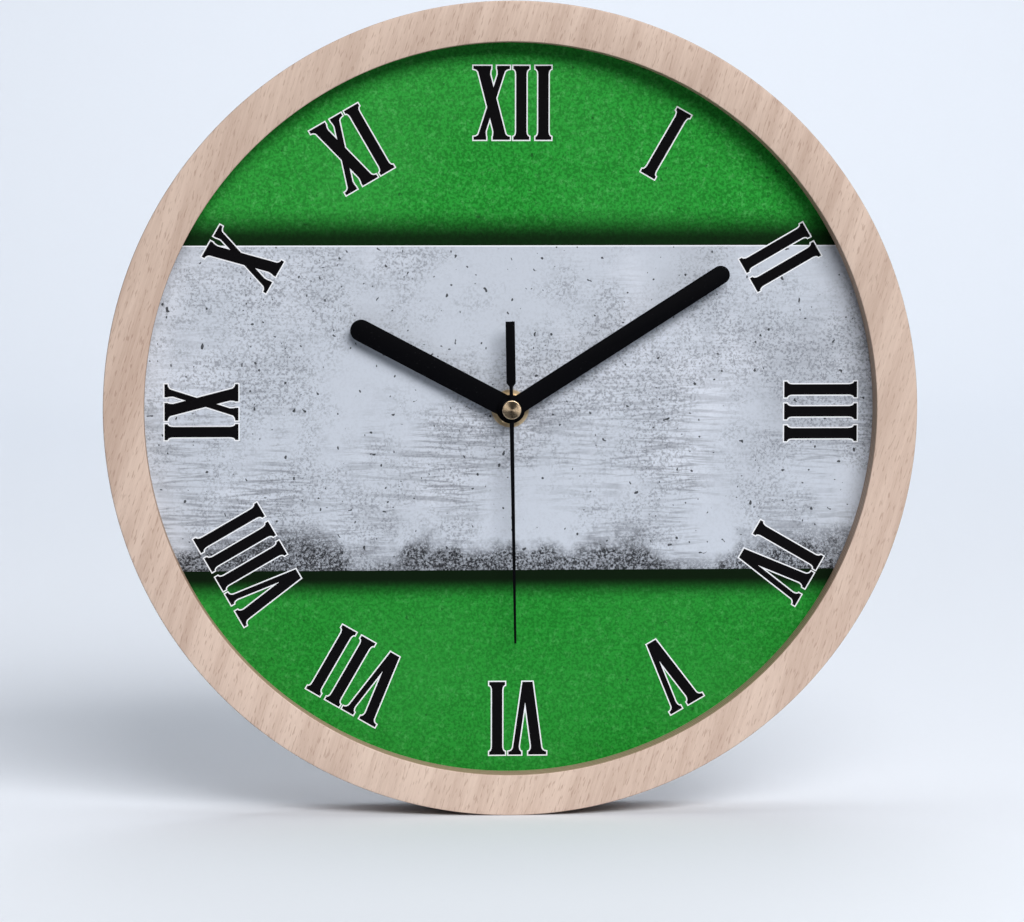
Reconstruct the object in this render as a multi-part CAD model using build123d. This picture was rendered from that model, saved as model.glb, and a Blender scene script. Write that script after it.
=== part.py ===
from build123d import *

import math
import os

# A round wall clock, 300 mm across, built as the real thing is built.
#
# The case is three plywood rings, screwed together from behind, with the printed dial board held in a rabbet between
# the first two. A quartz movement hangs on the board by its threaded bushing: a snap-together plastic case with a
# stepping motor, a wheel train, the motion works for the hands, a circuit board and one AA cell.
#
# All lengths are in millimetres. The origin is where the hands' axis meets the wall. +X is to the right of somebody
# who looks at the dial, +Z is up and +Y points into the wall, so the dial faces -Y. Depths are named front (the
# lower Y) and back. Angles of hands run clockwise from 12 as seen from the front, in degrees.

# ---------------------------------------------------------------- driving dimensions
# Wooden case. The back ring's thickness follows from the depth of the movement.
clock_diameter = 300.0
opening_diameter = 270.0
front_layer = 10.0
middle_layer = 10.0
ring_edge_break = 0.4
wall_gap = 1.0
# Dial
board_diameter = 284.0
board_thickness = 3.0
board_clearance = 0.3
print_thickness = 0.2
# Screws that hold the three rings
frame_screw_count = 6
frame_screw_first_angle = 30.0
frame_screw_radius = 1.5
frame_screw_bite = 4.2
frame_screw_head_radius = 2.8
frame_screw_head_height = 1.9
frame_screw_sunk = 0.2
cross_slot_width = 0.8
cross_slot_length = 3.2
cross_slot_depth = 1.1
# Hanger plate
hanger_thickness = 0.8
hanger_width = 22.0
hanger_foot = 11.0
hanger_bend_gap = 2.0
hanger_bend_rise = 7.0
hanger_set_back = 5.2
hanger_keyhole_gap = 6.0
hanger_top_margin = 4.8
keyhole_radius = 4.5
keyhole_slot_width = 4.4
keyhole_slot_rise = 8.0
# Fixing at the dial's centre
gasket_thickness = 0.5
gasket_radius = 12.0
bushing_wall = 1.38
bushing_flange_step = 1.55
bushing_flange_thickness = 0.7
bushing_proud = 0.3
thread_pitch = 0.75
thread_depth = 0.3
thread_start = 0.2
washer_rim = 3.05
washer_thickness = 0.5
nut_wall = 1.05
nut_thickness = 2.0
nut_bevel_inset = 0.1
# Movement case: its width is also twice its height above the hands' axis, and its lower edge follows from the cell
case_side = 56.0
case_wall = 1.2
case_corner = 3.5
chamber_depth = 14.1
chamber_reach = 10.5
bay_wall = 1.0
bay_floor = 0.6
latch_width = 8.0
latch_thickness = 1.0
latch_reach = 6.5
latch_barb = 0.6
latch_barb_height = 1.2
latch_height_on_case = 14.0
window_gap = 0.2
finger_notch_radius = 8.0
finger_notch_depth = 6.0
pillar_radius = 1.5
pillar_inset = 3.5
pillar_top = 15.0
boss_radius = 1.6
boss_height = 1.2
bridge_top = 18.0
bridge_edge_gap = 0.5
bridge_third_hole = 2.0
# Battery, the AA size
cell_radius = 7.25
cell_length = 49.5
cell_edge = 0.6
cell_nub_radius = 2.75
cell_nub_length = 1.0
cell_side_gap = 0.4
cell_seat_gap = 0.15
cell_back_gap = 0.05
# Battery contacts
contact_gap = 0.1
contact_thickness = 0.4
contact_half_width = 4.0
contact_margin = 1.2
dimple_radius = 1.6
dimple_height = 0.2
leaf_thickness = 0.3
leaf_width = 6.0
leaf_nose = 1.2
leaf_root = 0.9
# Wheel train: teeth, distances between axes and the directions that they lie in
tooth_addendum = 0.75
tooth_dedendum = 1.0
pressure_angle = math.radians(25)
backlash = 0.06
rotor_teeth, fifth_teeth = 12, 60
fifth_pinion_teeth, seconds_teeth = 10, 60
seconds_pinion_teeth, third_teeth = 8, 60
third_pinion_teeth, centre_teeth = 8, 64
cannon_teeth, minute_wheel_teeth = 12, 36
minute_pinion_teeth, hour_teeth = 10, 40
rotor_distance, rotor_direction = 10.8, 100.0
fifth_distance, fifth_direction = 10.5, 180.0
third_distance, third_direction = 10.88, 80.0
setting_distance, setting_direction = 11.5, 0.0
# Levels inside the movement, each from front to back of the piece, measured from the front cover's inner face
hour_level = (0.3, 1.5)
minute_pinion_level = (0.25, 1.6)
cannon_level = (1.9, 3.3)
minute_wheel_level = (2.1, 3.1)
cannon_shoulder = 3.65
centre_level = (3.7, 4.5)
clutch_level = (4.52, 4.74)
cannon_tail_end = 4.82
bridge_level = (5.0, 5.8)
third_pinion_level = (3.5, 6.3)
third_level = (6.3, 7.1)
seconds_pinion_level = (6.1, 7.3)
seconds_level = (7.8, 8.6)
fifth_pinion_level = (7.6, 8.9)
rotor_shoulder = 8.4
magnet_level = (8.7, 11.1)
stator_level = (9.5, 10.3)
core_level = (10.3, 11.3)
circuit_level = (9.5, 10.3)
rotor_pinion_level = (11.4, 12.6)
fifth_level = (11.6, 12.4)
# Shafts and fits
running_gap = 0.07
press_gap = 0.01
end_gap = 0.1
pivot_radius = 0.35
pivot_depth = 0.6
arbor_radius = 0.8
seconds_pinion_core = 0.85
seconds_arbor_radius = 0.45
minute_tube_radius = 1.55
hour_tube_radius = 2.5
cannon_shoulder_radius = 2.3
cannon_tail_radius = 1.9
clutch_radius = 4.2
setting_shaft_radius = 1.0
setting_hub_radius = 1.6
# Setting knob
knob_recess = 3.0
knob_height = 3.1
knob_radius = 5.0
knob_flutes = 18
knob_flute_radius = 0.6
knob_flute_out = 0.35
knob_arrow_radius = 3.2
knob_arrow_width = 0.6
knob_arrow_depth = 0.3
knob_seat = 2.0
knob_well_gap = 1.0
knob_well_wall = 1.0
knob_floor_gap = 0.3
knob_floor_thickness = 0.9
# Stepping motor
stator_screw_radius = 0.8
stator_screw_depth = 4.0
stator_screw_head_radius = 1.6
stator_screw_head_height = 0.9
stator_slot_width = 0.4
stator_slot_depth = 0.4
stator_post_radius = 1.8
stator_post_spread = 16.5
stator_hole_gap = 0.5
stator_rim = 1.7
stator_arm = 4.0
stator_cross_arm = 3.4
stator_third_gap = 1.5
magnet_radius = 3.0
coil_height = 22.2
core_width = 4.0
core_overhang = 2.0
bobbin_half_length = 12.5
bobbin_wall = 0.6
bobbin_flange_radius = 3.1
bobbin_flange = 0.6
winding_radius = 2.95
wire_gap = 0.02
# Circuit board, its chip and crystal
circuit_width = 12.0
circuit_height = 13.0
circuit_edge_gap = 0.6
chip_radius = 2.2
chip_rise = 0.95
chip_shoulder, chip_crown = 0.9, 0.5
chip_inset = (3.0, 4.1)
crystal_radius = 1.0
crystal_length = 6.0
crystal_inset = (4.0, 9.1)
crystal_lead_radius = 0.15
crystal_lead_spread = 0.4
crystal_lead_length = 1.2
# Hands
hand_thickness = 0.5
hand_gap = 0.3
collet_height = 0.6
collet_wall = 1.0
second_collet_wall = 0.85
tube_proud = 0.3
hour_hand_length, hour_hand_width, hour_hub_radius, hour_hand_angle = 66.5, 8.1, 5.3, 297.8
minute_hand_length, minute_hand_width, minute_hub_radius, minute_hand_angle = 95.2, 6.8, 4.7, 57.4
second_hand_length, second_hub_radius, second_hand_angle = 86.5, 3.9, 179.0
second_hand_thickness = 0.4
needle_root_width, needle_tip_width = 1.6, 0.8
tail_arm_width, tail_width = 1.3, 3.4
tail_start, tail_flare, tail_end = 8.5, 1.2, 32.5
cap_radius = 3.5
cap_thickness = 1.5
cap_edge = 0.25

# ---------------------------------------------------------------- radii and depths that follow from them
bushing_bore = hour_tube_radius + running_gap
bushing_radius = bushing_bore + bushing_wall
bushing_hole = bushing_radius + press_gap
stator_hole_radius = magnet_radius + stator_hole_gap
knob_well_radius = knob_radius + knob_well_gap

bay_depth = bay_floor + cell_seat_gap + 2 * cell_radius + cell_back_gap
case_depth = case_wall + max(chamber_depth + case_wall, bay_depth)
movement_back = -wall_gap
movement_front = movement_back - case_depth
floor = movement_front + case_wall
rear_wall = movement_back - case_wall
boss_face = rear_wall - boss_height
well_floor = movement_back - knob_recess
hanger_front = movement_front - hanger_thickness
board_back = hanger_front - gasket_thickness
board_front = board_back - board_thickness
dial_front = board_front - print_thickness
middle_back = dial_front + middle_layer
case_front = dial_front - front_layer
washer_front = dial_front - washer_thickness
nut_front = washer_front - nut_thickness
bushing_front = nut_front - bushing_proud
hour_hand_back = bushing_front - hand_gap - collet_height
hour_hand_front = hour_hand_back - hand_thickness
hour_tube_front = hour_hand_front - tube_proud
minute_hand_back = hour_tube_front - hand_gap - collet_height
minute_hand_front = minute_hand_back - hand_thickness
minute_tube_front = minute_hand_front - tube_proud
second_hand_back = minute_tube_front - hand_gap - collet_height
second_hand_front = second_hand_back - second_hand_thickness
cap_front = second_hand_front - cap_thickness
arbor_front = second_hand_front - cap_thickness / 2


# ---------------------------------------------------------------- places in the movement
def polar(distance, degrees, start=(0.0, 0.0)):
    """A point at a distance and direction from a start, in the (x, z) plane."""
    turn = math.radians(degrees)
    return (start[0] + distance * math.cos(turn), start[1] + distance * math.sin(turn))


centre = (0.0, 0.0)
fifth_at = polar(fifth_distance, fifth_direction)
rotor_at = polar(rotor_distance, rotor_direction, fifth_at)
third_at = polar(third_distance, third_direction)
setting_at = polar(setting_distance, setting_direction)
half_side = case_side / 2
inner_half = half_side - case_wall
chamber_bottom = -chamber_reach
bay_top = chamber_bottom - bay_wall
bay_bottom = bay_top - 2 * cell_radius - 2 * cell_side_gap
case_bottom = bay_bottom - case_wall
pillar_side = inner_half - pillar_inset
pillar_bottom = chamber_bottom + pillar_inset
pillars_at = [(side * pillar_side, height) for side in (-1, 1) for height in (pillar_bottom, pillar_top)]
stator_posts_at = [(-stator_post_spread, coil_height), (stator_post_spread, coil_height)]
frame_screw_circle = (clock_diameter + board_diameter) / 4


# ---------------------------------------------------------------- helpers
def slab(sketch, front, back):
    """A flat sketch in (x, z), as seen from the front, given thickness from front to back."""
    return extrude(Plane.XZ.offset(-back) * sketch, amount=back - front)


def disc(radius, front, back, at=centre):
    return slab(Pos(*at) * Circle(radius), front, back)


def tube(outer, inner, front, back, at=centre):
    return disc(outer, front, back, at) - disc(inner, front, back, at)


def block(x, z, front, back):
    """A box from x[0] to x[1] and z[0] to z[1]."""
    middle = Pos((x[0] + x[1]) / 2, (z[0] + z[1]) / 2)
    return slab(middle * Rectangle(x[1] - x[0], z[1] - z[0]), front, back)


def turned(profile, at=centre):
    """A lathe-turned solid from (radius, y) points, on an axis along Y."""
    face = make_face(Polyline(*profile, close=True))
    return Pos(at[0], 0, at[1]) * revolve(face, Axis.Y, 360)


def depth(level):
    """Front and back of a level inside the movement."""
    return floor + level[0], floor + level[1]


def shaft(radius, start, end, at):
    """A shaft between two depths measured like the levels."""
    return disc(radius, floor + start, floor + end, at)


def tooth_outline(teeth, module):
    """One involute tooth's flank, as (radius, half angle) from root to tip."""
    pitch = teeth * module / 2
    base = pitch * math.cos(pressure_angle)
    tip = pitch + tooth_addendum * module
    root = pitch - tooth_dedendum * module
    half_at_pitch = (math.pi * module / 2 - backlash) / 2 / pitch

    def involute(radius):
        angle = math.acos(min(1.0, base / radius))
        return math.tan(angle) - angle

    def half_angle(radius):
        return half_at_pitch + involute(pitch) - involute(max(radius, base))

    foot = max(base, (root + pitch) / 2)
    radii = [root, foot, (foot + pitch) / 2, pitch, (pitch + tip) / 2, tip]
    return [(radius, half_angle(radius)) for radius in radii]


def gear_sketch(teeth, module, at, mate, tooth_to_mate):
    """A toothed outline at a place, turned so that a tooth, or a gap, points at its mate."""
    flank = tooth_outline(teeth, module)
    pitch_angle = 2 * math.pi / teeth
    towards = math.atan2(mate[1] - at[1], mate[0] - at[0])
    start = towards if tooth_to_mate else towards + pitch_angle / 2
    points = []
    for tooth in range(teeth):
        middle = start + tooth * pitch_angle
        for side, steps in ((-1, flank), (1, flank[::-1])):
            for radius, half in steps:
                angle = middle + side * half
                points.append((radius * math.cos(angle), radius * math.sin(angle)))
    return Pos(*at) * make_face(Polyline(*points, close=True))


def gear(teeth, module, at, mate, tooth_to_mate, level):
    return slab(gear_sketch(teeth, module, at, mate, tooth_to_mate), *depth(level))


def module_for(distance, teeth, mate_teeth):
    return 2 * distance / (teeth + mate_teeth)


rotor_module = module_for(rotor_distance, rotor_teeth, fifth_teeth)
fifth_module = module_for(fifth_distance, fifth_pinion_teeth, seconds_teeth)
seconds_module = module_for(third_distance, seconds_pinion_teeth, third_teeth)
centre_module = module_for(third_distance, third_pinion_teeth, centre_teeth)
cannon_module = module_for(setting_distance, cannon_teeth, minute_wheel_teeth)
hour_module = module_for(setting_distance, minute_pinion_teeth, hour_teeth)


# ---------------------------------------------------------------- wooden case
def frame_screw_places():
    step = 360 / frame_screw_count
    return [polar(frame_screw_circle, frame_screw_first_angle + step * i) for i in range(frame_screw_count)]


def frame_screw_outline(grow):
    """Half section of a countersunk screw. Grow widens it into the hole that it fits."""
    neck = -frame_screw_sunk - frame_screw_head_height
    tip = dial_front - frame_screw_bite
    return [
        (0, -frame_screw_sunk),
        (frame_screw_head_radius + grow, -frame_screw_sunk),
        (frame_screw_radius + grow, neck),
        (frame_screw_radius + grow, tip + frame_screw_radius),
        (0, tip - grow),
    ]


def frame_screw_holes():
    mouth = frame_screw_head_radius + press_gap
    holes = []
    for at in frame_screw_places():
        holes.append(turned(frame_screw_outline(press_gap), at) + disc(mouth, -frame_screw_sunk, 0, at))
    return holes


def ring(front, back):
    return tube(clock_diameter / 2, opening_diameter / 2, front, back)


def front_ring():
    body = ring(case_front, dial_front)
    rims = body.edges().filter_by(GeomType.CIRCLE).group_by(Axis.Y)[0]
    return chamfer(rims, ring_edge_break) - frame_screw_holes()


def middle_ring():
    """The ring behind the front one, with a rabbet that holds the dial board."""
    rabbet = disc(board_diameter / 2 + board_clearance, dial_front, board_back)
    return ring(dial_front, middle_back) - rabbet - frame_screw_holes()


def back_ring():
    body = ring(middle_back, 0)
    rims = body.edges().filter_by(GeomType.CIRCLE).group_by(Axis.Y)[-1]
    return chamfer(rims, ring_edge_break) - frame_screw_holes()


def frame_screws():
    back = -frame_screw_sunk
    across = Rectangle(cross_slot_length, cross_slot_width)
    upright = Rectangle(cross_slot_width, cross_slot_length)
    screws = []
    for at in frame_screw_places():
        cross = slab(Pos(*at) * (across + upright), back - cross_slot_depth, back)
        screws.append(turned(frame_screw_outline(0), at) - cross)
    return screws


# ---------------------------------------------------------------- dial and its fixing
def dial_board():
    return tube(board_diameter / 2, bushing_hole, board_front, board_back)


def dial_print():
    return tube(board_diameter / 2, bushing_hole, dial_front, board_front)


def rubber_gasket():
    return tube(gasket_radius, bushing_hole, board_back, hanger_front)


def keyhole_sketch(height):
    slot_top = height + keyhole_slot_rise
    slot = Pos(0, (height + slot_top) / 2) * Rectangle(keyhole_slot_width, keyhole_slot_rise)
    return Pos(0, height) * Circle(keyhole_radius) + slot + Pos(0, slot_top) * Circle(keyhole_slot_width / 2)


def hanger_plate():
    """A bent steel strip: its foot sits on the bushing and its top stands back from the board, with a keyhole."""
    bend_start = half_side + hanger_bend_gap
    bend_end = bend_start + hanger_bend_rise
    keyhole_height = bend_end + hanger_keyhole_gap
    top = keyhole_height + keyhole_slot_rise + keyhole_slot_width / 2 + hanger_top_margin
    top_front, top_back = hanger_front + hanger_set_back, movement_front + hanger_set_back
    lean = math.atan2(hanger_set_back, hanger_bend_rise)
    shift = hanger_thickness * math.tan(lean / 2)
    side = Polyline(
        (hanger_front, -hanger_foot),
        (hanger_front, bend_start),
        (top_front, bend_end),
        (top_front, top),
        (top_back, top),
        (top_back, bend_end - shift),
        (movement_front, bend_start - shift),
        (movement_front, -hanger_foot),
        close=True,
    )
    strip = extrude(Plane.YZ.offset(-hanger_width / 2) * make_face(side), amount=hanger_width)
    outline = Pos(0, (top - hanger_foot) / 2) * SlotOverall(top + hanger_foot, hanger_width, rotation=90)
    plate = strip & slab(outline, hanger_front, top_back)
    plate -= slab(keyhole_sketch(keyhole_height), top_front, top_back)
    return plate - disc(bushing_hole, hanger_front, movement_front)


def threaded_bushing():
    """Brass bushing with rings cut at the thread's pitch, and a flange inside the front cover."""
    flange_front = floor - bushing_flange_thickness
    body = tube(bushing_radius, bushing_bore, bushing_front, flange_front)
    body += tube(bushing_radius + bushing_flange_step, bushing_bore, flange_front, floor)
    for i in range(int((dial_front - bushing_front) / thread_pitch)):
        start = bushing_front + thread_start + i * thread_pitch
        body -= tube(bushing_radius + thread_depth, bushing_radius - thread_depth, start, start + thread_pitch / 2)
    return body


def dial_washer():
    return tube(bushing_radius + washer_rim, bushing_hole, washer_front, dial_front)


def dial_nut():
    flat = bushing_radius + nut_wall
    corner = flat / math.cos(math.radians(30))
    bevel = corner - flat + nut_bevel_inset
    outline = [
        (0, nut_front),
        (flat - nut_bevel_inset, nut_front),
        (corner, nut_front + bevel),
        (corner, washer_front),
        (0, washer_front),
    ]
    hexagon = slab(RegularPolygon(flat, 6, major_radius=False), nut_front, washer_front)
    return (hexagon & turned(outline)) - disc(bushing_hole, nut_front, washer_front)


# ---------------------------------------------------------------- movement case
def case_outline(shrink=0.0):
    width, height = case_side - 2 * shrink, half_side - case_bottom - 2 * shrink
    return Pos(0, (half_side + case_bottom) / 2) * RectangleRounded(width, height, case_corner - shrink)


def on_both_sides(right_piece):
    return [right_piece, mirror(right_piece, Plane.YZ)]


def latch(height):
    """A hook on the front cover, on the right, that snaps into a window in the back cover's side wall."""
    tip = movement_front + latch_reach
    outer = half_side + latch_thickness
    z = (height - latch_width / 2, height + latch_width / 2)
    arm = block((half_side + press_gap, outer), z, movement_front, tip)
    root = block((inner_half, outer), z, movement_front, floor)
    barb = block((half_side - latch_barb, outer), z, tip - latch_barb_height, tip)
    return arm + root + barb


def latch_window(height):
    half_width = latch_width / 2 + window_gap
    x = (half_side - latch_barb - window_gap, half_side + latch_thickness)
    return block(x, (height - half_width, height + half_width), floor, movement_front + latch_reach + window_gap)


def movement_front_cover():
    body = slab(case_outline(), movement_front, floor)
    flange_hole = bushing_radius + bushing_flange_step + press_gap
    body -= disc(flange_hole, floor - bushing_flange_thickness, floor)
    body -= disc(bushing_hole, movement_front, floor)
    for at in pillars_at:
        body += shaft(pillar_radius, 0, bridge_level[0], at)
    post_end = stator_level[0]
    for at in stator_posts_at:
        hole = shaft(stator_screw_radius, post_end - stator_screw_depth - end_gap, post_end, at)
        body += shaft(stator_post_radius, 0, post_end, at) - hole
    for at in (third_at, setting_at):
        body -= shaft(pivot_radius + running_gap, -pivot_depth - end_gap, 0, at)
    for height in (-latch_height_on_case, latch_height_on_case):
        body += on_both_sides(latch(height))
    return body


def knob_well_cup():
    """The sunk cup in the back cover that the setting knob turns in."""
    return disc(knob_well_radius + knob_well_wall, well_floor - knob_floor_thickness, rear_wall, setting_at)


def movement_back_cover():
    """Open box with the wheel chamber in front, and the battery bay and the knob's well behind."""
    body = slab(case_outline(), floor, movement_back)
    chamber = block((-inner_half, inner_half), (chamber_bottom, inner_half), floor, rear_wall)
    body -= chamber & slab(case_outline(case_wall), floor, rear_wall)
    bay = block((-inner_half, inner_half), (bay_bottom, bay_top), floor + bay_floor, movement_back)
    body -= bay & slab(case_outline(case_wall), floor, movement_back)
    body += knob_well_cup()
    body -= disc(knob_well_radius, well_floor, movement_back, setting_at)
    body -= disc(setting_shaft_radius + running_gap, well_floor - knob_floor_thickness, well_floor, setting_at)
    for at in (centre, third_at, fifth_at, rotor_at):
        body += disc(boss_radius, boss_face, rear_wall, at)
        body -= disc(pivot_radius + running_gap, boss_face, rear_wall + pivot_depth, at)
    for at in pillars_at:
        body += disc(pillar_radius, floor + bridge_level[1], rear_wall, at)
    for height in (-latch_height_on_case, latch_height_on_case):
        body -= on_both_sides(latch_window(height))
    notch = slab(Pos(0, case_bottom) * Circle(finger_notch_radius), movement_back - finger_notch_depth, movement_back)
    wall = block((-half_side, half_side), (case_bottom, bay_bottom), floor, movement_back)
    return body - (notch & wall)


def train_bridge():
    """Plate between the motion works and the going train. It carries the front pivots of fifth wheel and rotor."""
    front, back = depth(bridge_level)
    half = inner_half - bridge_edge_gap
    body = block((-half, half), (chamber_bottom + bridge_edge_gap, bridge_top), front, back)
    body -= disc(seconds_arbor_radius + running_gap, front, back, centre)
    body -= disc(bridge_third_hole, front, back, third_at)
    body -= disc(setting_shaft_radius + running_gap, front, back, setting_at)
    for at in (fifth_at, rotor_at):
        body -= disc(pivot_radius + running_gap, front, back, at)
    return body


# ---------------------------------------------------------------- stepping motor and circuit
def stator_screw_holes(level):
    return [disc(stator_screw_radius + press_gap, *depth(level), at) for at in stator_posts_at]


def stator_plate():
    """Soft iron plate round the rotor's magnet, with an arm to each end of the coil's core."""
    front, back = depth(stator_level)
    left, right = stator_posts_at[0][0], stator_posts_at[1][0]
    top = coil_height + core_width / 2
    low = third_at[1] + stator_third_gap
    half = stator_arm / 2
    body = disc(stator_hole_radius + stator_rim, front, back, rotor_at)
    body += block((left - half, left + half), (rotor_at[1], top), front, back)
    body += block((rotor_at[0], right + half), (low, low + stator_cross_arm), front, back)
    body += block((right - half, right + half), (low, top), front, back)
    body -= disc(stator_hole_radius, front, back, rotor_at)
    return body - stator_screw_holes(stator_level)


def coil_core():
    front, back = depth(core_level)
    end = stator_post_spread + core_overhang
    z = (coil_height - core_width / 2, coil_height + core_width / 2)
    return block((-end, end), z, front, back) - stator_screw_holes(core_level)


def coil_axis_disc(radius, start, end):
    """A disc across the coil's axis, which runs along X through the core."""
    level = sum(depth(core_level)) / 2
    return Plane((start, level, coil_height), z_dir=(1, 0, 0)) * extrude(Circle(radius), amount=end - start)


def bobbin_tube(grow):
    """A square bar along the bobbin, larger than the core by grow on each side."""
    front, back = depth(core_level)
    half = core_width / 2 + grow
    z = (coil_height - half, coil_height + half)
    return block((-bobbin_half_length, bobbin_half_length), z, front - grow, back + grow)


def coil_bobbin():
    inner = bobbin_half_length - bobbin_flange
    body = bobbin_tube(bobbin_wall)
    body += coil_axis_disc(bobbin_flange_radius, -bobbin_half_length, -inner)
    body += coil_axis_disc(bobbin_flange_radius, inner, bobbin_half_length)
    return body - bobbin_tube(wire_gap)


def coil_winding():
    inner = bobbin_half_length - bobbin_flange - wire_gap
    return coil_axis_disc(winding_radius, -inner, inner) - bobbin_tube(bobbin_wall + wire_gap)


def stator_screws():
    head_back = core_level[1] + stator_screw_head_height
    slot_front = floor + head_back - stator_slot_depth
    screws = []
    for at in stator_posts_at:
        body = shaft(stator_screw_radius - press_gap, stator_level[0] - stator_screw_depth, core_level[1], at)
        body += shaft(stator_screw_head_radius, core_level[1], head_back, at)
        slot = Pos(*at) * Rectangle(2 * stator_screw_head_radius, stator_slot_width)
        screws.append(body - slab(slot, slot_front, floor + head_back))
    return screws


circuit_right = inner_half - circuit_edge_gap
circuit_left = circuit_right - circuit_width
circuit_bottom = chamber_bottom + circuit_edge_gap


def circuit_board():
    front, back = depth(circuit_level)
    z = (circuit_bottom, circuit_bottom + circuit_height)
    body = block((circuit_left, circuit_right), z, front, back)
    return body - disc(pillar_radius + end_gap, front, back, (pillar_side, pillar_bottom))


def circuit_chip():
    """The chip under its drop of black resin."""
    back = depth(circuit_level)[1]
    at = (circuit_left + chip_inset[0], circuit_bottom + chip_inset[1])
    outline = [
        (0, back),
        (chip_radius, back),
        (chip_radius * chip_shoulder, back + chip_rise / 2),
        (chip_radius * chip_crown, back + chip_rise * chip_shoulder),
        (0, back + chip_rise),
    ]
    return turned(outline, at)


def quartz_crystal():
    """The crystal's can, lying on the board, with two leads at its lower end."""
    level = depth(circuit_level)[1] + crystal_radius
    x, z = circuit_right - crystal_inset[0], circuit_bottom + crystal_inset[1]
    low = z - crystal_length / 2
    can = Pos(x, level, z) * Cylinder(crystal_radius, crystal_length)
    for side in (-1, 1):
        can += Pos(x + side * crystal_lead_spread, level, low) * Cylinder(crystal_lead_radius, crystal_lead_length)
    return can


# ---------------------------------------------------------------- battery and its contacts
cell_y = floor + bay_floor + cell_seat_gap + cell_radius
cell_z = (bay_bottom + bay_top) / 2
contact_right = inner_half - press_gap
cell_nub_end = contact_right - contact_thickness - dimple_height - contact_gap
cell_right = cell_nub_end - cell_nub_length
cell_left = cell_right - cell_length


def along_cell(radius, start, end):
    return Plane((start, cell_y, cell_z), z_dir=(1, 0, 0)) * extrude(Circle(radius), amount=end - start)


def battery():
    can = along_cell(cell_radius, cell_left, cell_right)
    can = fillet(can.edges().filter_by(GeomType.CIRCLE), cell_edge)
    return can + along_cell(cell_nub_radius, cell_right, cell_nub_end)


def contact_positive():
    """A flat strip against the bay's right wall, with a pressed dimple that meets the cell's nub."""
    left = contact_right - contact_thickness
    z = (cell_z - contact_half_width, cell_z + contact_half_width)
    strip = block((left, contact_right), z, floor + contact_margin, movement_back - contact_margin)
    return strip + along_cell(dimple_radius, left - dimple_height, left)


def contact_negative():
    """A leaf spring: a strip on the bay's left wall that bows out to the cell's base."""
    left = -contact_right
    inside = left + leaf_thickness
    nose = cell_left - contact_gap
    low, high = floor + contact_margin, movement_back - contact_margin
    outside_line = Polyline(
        (left, low),
        (left, high),
        (inside, high),
        (nose, cell_y + leaf_nose),
        (nose, cell_y - leaf_nose),
        (inside, low + leaf_nose),
        (inside, low),
        close=True,
    )
    hollow = Polyline(
        (inside, high - leaf_root),
        (nose - leaf_thickness, cell_y + leaf_nose - leaf_thickness),
        (nose - leaf_thickness, cell_y - leaf_nose + leaf_thickness),
        (inside, low + leaf_nose + leaf_root),
        close=True,
    )
    section = Plane.XY.offset(cell_z - leaf_width / 2) * (make_face(outside_line) - make_face(hollow))
    return extrude(section, amount=leaf_width)


# ---------------------------------------------------------------- motor and going train
def back_arbor(start, at):
    """The arbor behind a wheel, up to the back cover's boss, and the pivot that runs in it."""
    shoulder = boss_face - end_gap
    pivot = disc(pivot_radius, shoulder, rear_wall + pivot_depth - end_gap, at)
    return disc(arbor_radius, floor + start, shoulder, at) + pivot


def rotor_pinion():
    body = gear(rotor_teeth, rotor_module, rotor_at, fifth_at, True, rotor_pinion_level)
    body += shaft(arbor_radius, rotor_shoulder, rotor_pinion_level[0], rotor_at)
    body += shaft(pivot_radius, bridge_level[0] + end_gap, rotor_shoulder, rotor_at)
    return body + back_arbor(rotor_pinion_level[1], rotor_at)


def rotor_magnet():
    return tube(magnet_radius, arbor_radius + press_gap, *depth(magnet_level), rotor_at)


def fifth_wheel():
    body = gear(fifth_teeth, rotor_module, fifth_at, rotor_at, False, fifth_level)
    body += gear(fifth_pinion_teeth, fifth_module, fifth_at, centre, True, fifth_pinion_level)
    body += shaft(arbor_radius, fifth_pinion_level[1], fifth_level[0], fifth_at)
    body += shaft(pivot_radius, bridge_level[0] + end_gap, fifth_pinion_level[0], fifth_at)
    return body + back_arbor(fifth_level[1], fifth_at)


def seconds_wheel():
    body = gear(seconds_teeth, fifth_module, centre, fifth_at, False, seconds_level)
    body += gear(seconds_pinion_teeth, seconds_module, centre, third_at, True, seconds_pinion_level)
    body += shaft(seconds_pinion_core, seconds_pinion_level[1], seconds_level[0], centre)
    return body - shaft(seconds_arbor_radius + press_gap, seconds_pinion_level[0], seconds_level[1], centre)


def seconds_arbor():
    """The long arbor that carries the second hand in front and the seconds wheel behind."""
    shoulder = boss_face - end_gap
    pivot = disc(pivot_radius, shoulder, rear_wall + pivot_depth - end_gap)
    return disc(seconds_arbor_radius, arbor_front, shoulder) + pivot


def third_wheel():
    body = gear(third_teeth, seconds_module, third_at, centre, False, third_level)
    body += gear(third_pinion_teeth, centre_module, third_at, centre, True, third_pinion_level)
    body += shaft(pivot_radius, -pivot_depth, third_pinion_level[0], third_at)
    return body + back_arbor(third_level[1], third_at)


def centre_wheel():
    """Turned by the third wheel's pinion. It grips the cannon pinion's tail by friction, so the hands can be set."""
    body = gear(centre_teeth, centre_module, centre, third_at, False, centre_level)
    return body - shaft(cannon_tail_radius + running_gap, *centre_level, centre)


# ---------------------------------------------------------------- motion works
def cannon_pinion():
    """The minute hand's tube with its pinion, and a tail that carries the friction clutch."""
    body = gear(cannon_teeth, cannon_module, centre, setting_at, True, cannon_level)
    body += shaft(cannon_shoulder_radius, cannon_level[1], cannon_shoulder, centre)
    body += shaft(cannon_tail_radius, cannon_shoulder, cannon_tail_end, centre)
    body += disc(minute_tube_radius, minute_tube_front, floor + cannon_level[0])
    return body - disc(seconds_arbor_radius + running_gap, minute_tube_front, floor + cannon_tail_end)


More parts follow.
